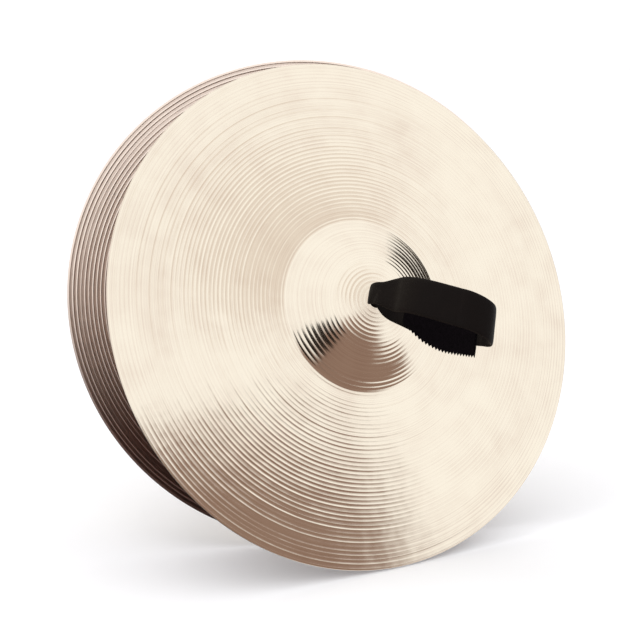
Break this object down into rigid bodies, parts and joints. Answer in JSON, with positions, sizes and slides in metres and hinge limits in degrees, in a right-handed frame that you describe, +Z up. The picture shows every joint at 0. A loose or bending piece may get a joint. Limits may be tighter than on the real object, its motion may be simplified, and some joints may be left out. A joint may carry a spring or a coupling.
{
  "type": "hand cymbals",
  "caption": "Orchestral hand cymbals: thin lathed bronze plates with raised bells, facing each other, each with a knotted leather hand strap.",
  "frame": {"origin": "centre of the front cymbal's hole, on the crown of its bell, where the strap leaves it", "axes": "+Z up with the pair leaning back as shown, front cymbal's outer face towards -Y, open side of the pair towards -X"},
  "size_m": [0.4109, 0.3454, 0.3763],
  "materials": {
    "bronze": "lathed, bright",
    "thong_leather": "satin",
    "strap_leather": "satin",
    "strap_liner": "matt, pinked edges"
  },
  "bodies": {
    "front_plate": {"front_cymbal": "bronze"},
    "front_knot": {"front_thong_1": "thong_leather", "front_thong_2": "thong_leather", "front_thong_3": "thong_leather", "front_thong_4": "thong_leather"},
    "front_strap": {"front_hand_strap": "strap_leather", "front_strap_liner": "strap_liner"},
    "rear_plate": {"rear_cymbal": "bronze"},
    "rear_knot": {"rear_thong_1": "thong_leather", "rear_thong_2": "thong_leather", "rear_thong_3": "thong_leather", "rear_thong_4": "thong_leather"},
    "rear_strap": {"rear_hand_strap": "strap_leather", "rear_strap_liner": "strap_liner"}
  },
  "joints": [
    {"name": "clash_hinge", "type": "hinge", "parent": "front_plate", "child": "rear_plate", "pos_m": [0.19537, 0.06741, -0.01432], "axis": [0, -0.3875, -0.9219], "range_deg": [-16.9, 45]},
    {"name": "front_strap_swivel", "type": "hinge", "parent": "front_plate", "child": "front_knot", "pos_m": [0, 0, 0], "axis": [0.1469, -0.9119, 0.3833], "continuous": true},
    {"name": "front_strap_droop", "type": "hinge", "parent": "front_knot", "child": "front_strap", "pos_m": [0.00059, -0.00365, 0.00153], "axis": [0.7795, 0.3453, 0.5227], "range_deg": [-90, 40]},
    {"name": "rear_strap_swivel", "type": "hinge", "parent": "rear_plate", "child": "rear_knot", "pos_m": [-0.0087, 0.13602, -0.02913], "axis": [0.1469, 0.9119, -0.3833], "continuous": true},
    {"name": "rear_strap_droop", "type": "hinge", "parent": "rear_knot", "child": "rear_strap", "pos_m": [-0.00812, 0.13967, -0.03066], "axis": [-0.7795, 0.3453, 0.5227], "range_deg": [-90, 40]}
  ]
}
